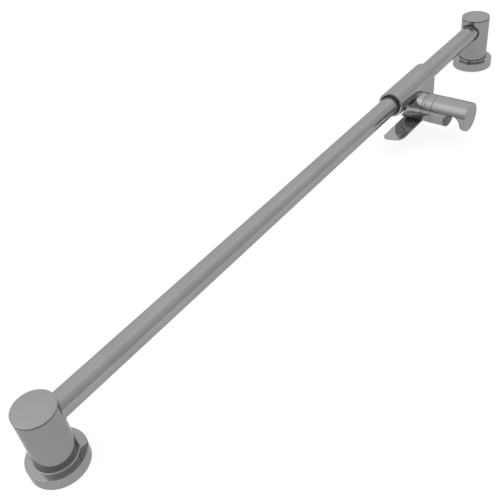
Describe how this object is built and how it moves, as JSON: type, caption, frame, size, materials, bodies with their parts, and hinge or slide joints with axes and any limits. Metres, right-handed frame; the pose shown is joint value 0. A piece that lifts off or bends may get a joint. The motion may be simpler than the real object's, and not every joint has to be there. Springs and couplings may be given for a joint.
{
  "type": "shower slide rail",
  "caption": "Wall-mounted round shower rail on pillars with rosettes, with a squeeze-lever slider that carries a swivelling open handset holder.",
  "frame": {"origin": "on the wall plane, midway between the two pillars' screw holes", "axes": "+X along the rail from the lower to the upper pillar, +Z away from the wall, -Y towards the handset holder"},
  "size_m": [0.8174, 0.1078, 0.0696],
  "materials": {
    "chrome": "polished chrome plate",
    "chrome_rail": "polished chrome-plated tube",
    "steel": "plain steel",
    "brass_boss": "turned brass",
    "black_seal": "black rubber and plastic rings",
    "dark_liner": "dark moulded plastic",
    "grey_plastic": "moulded grey plastic"
  },
  "bodies": {
    "rail": {"rail_tube": "chrome_rail", "lower_rail_plug": "grey_plastic", "lower_pillar": "chrome", "lower_rail_socket": "grey_plastic", "lower_clamp_screw": "steel", "lower_rail_seal": "black_seal", "lower_cap": "chrome", "lower_cap_ring": "black_seal", "lower_wall_flange": "chrome", "lower_wall_boss": "brass_boss", "lower_grub_screw": "steel", "upper_rail_plug": "grey_plastic", "upper_pillar": "chrome", "upper_rail_socket": "grey_plastic", "upper_clamp_screw": "steel", "upper_rail_seal": "black_seal", "upper_cap": "chrome", "upper_cap_ring": "black_seal", "upper_wall_flange": "chrome", "upper_wall_boss": "brass_boss", "upper_grub_screw": "steel"},
    "carriage": {"lower_liner": "black_seal", "upper_liner": "black_seal"},
    "slider": {"slider_body": "chrome", "thrust_ring": "chrome", "neck_collar": "chrome", "lever_spring": "steel", "holder_pivot": "brass_boss", "friction_ring": "black_seal", "wave_washer": "steel", "holder_screw": "steel"},
    "lever": {"release_lever": "chrome", "camshaft": "steel", "drive_screw": "steel"},
    "shoe": {"brake_shoe": "grey_plastic"},
    "holder": {"handset_holder": "chrome", "socket_liner": "dark_liner"}
  },
  "joints": [
    {"name": "height_slide", "type": "slide", "parent": "rail", "child": "carriage", "axis": [1, 0, 0], "range_m": [-0.487, 0.13]},
    {"name": "slider_swivel", "type": "hinge", "parent": "carriage", "child": "slider", "pos_m": [0.1915, 0, 0.052], "axis": [-1, 0, 0], "range_deg": [-10, 190]},
    {"name": "lever_squeeze", "type": "hinge", "parent": "slider", "child": "lever", "pos_m": [0.1915, 0, 0.0347], "axis": [0, 1, 0], "range_deg": [0, 6], "stiffness_Nm_per_rad": 2, "springref_deg": -8.59},
    {"name": "brake_lift", "type": "slide", "parent": "slider", "child": "shoe", "axis": [0, 0, 1], "range_m": [-0.00031, 0]},
    {"name": "holder_tilt", "type": "hinge", "parent": "slider", "child": "holder", "pos_m": [0.1915, -0.06, 0.0347], "axis": [0, 1, 0], "continuous": true}
  ],
  "couplings": [
    {"joint": "brake_lift", "follows": "lever_squeeze", "m_per_rad": -0.0029}
  ]
}
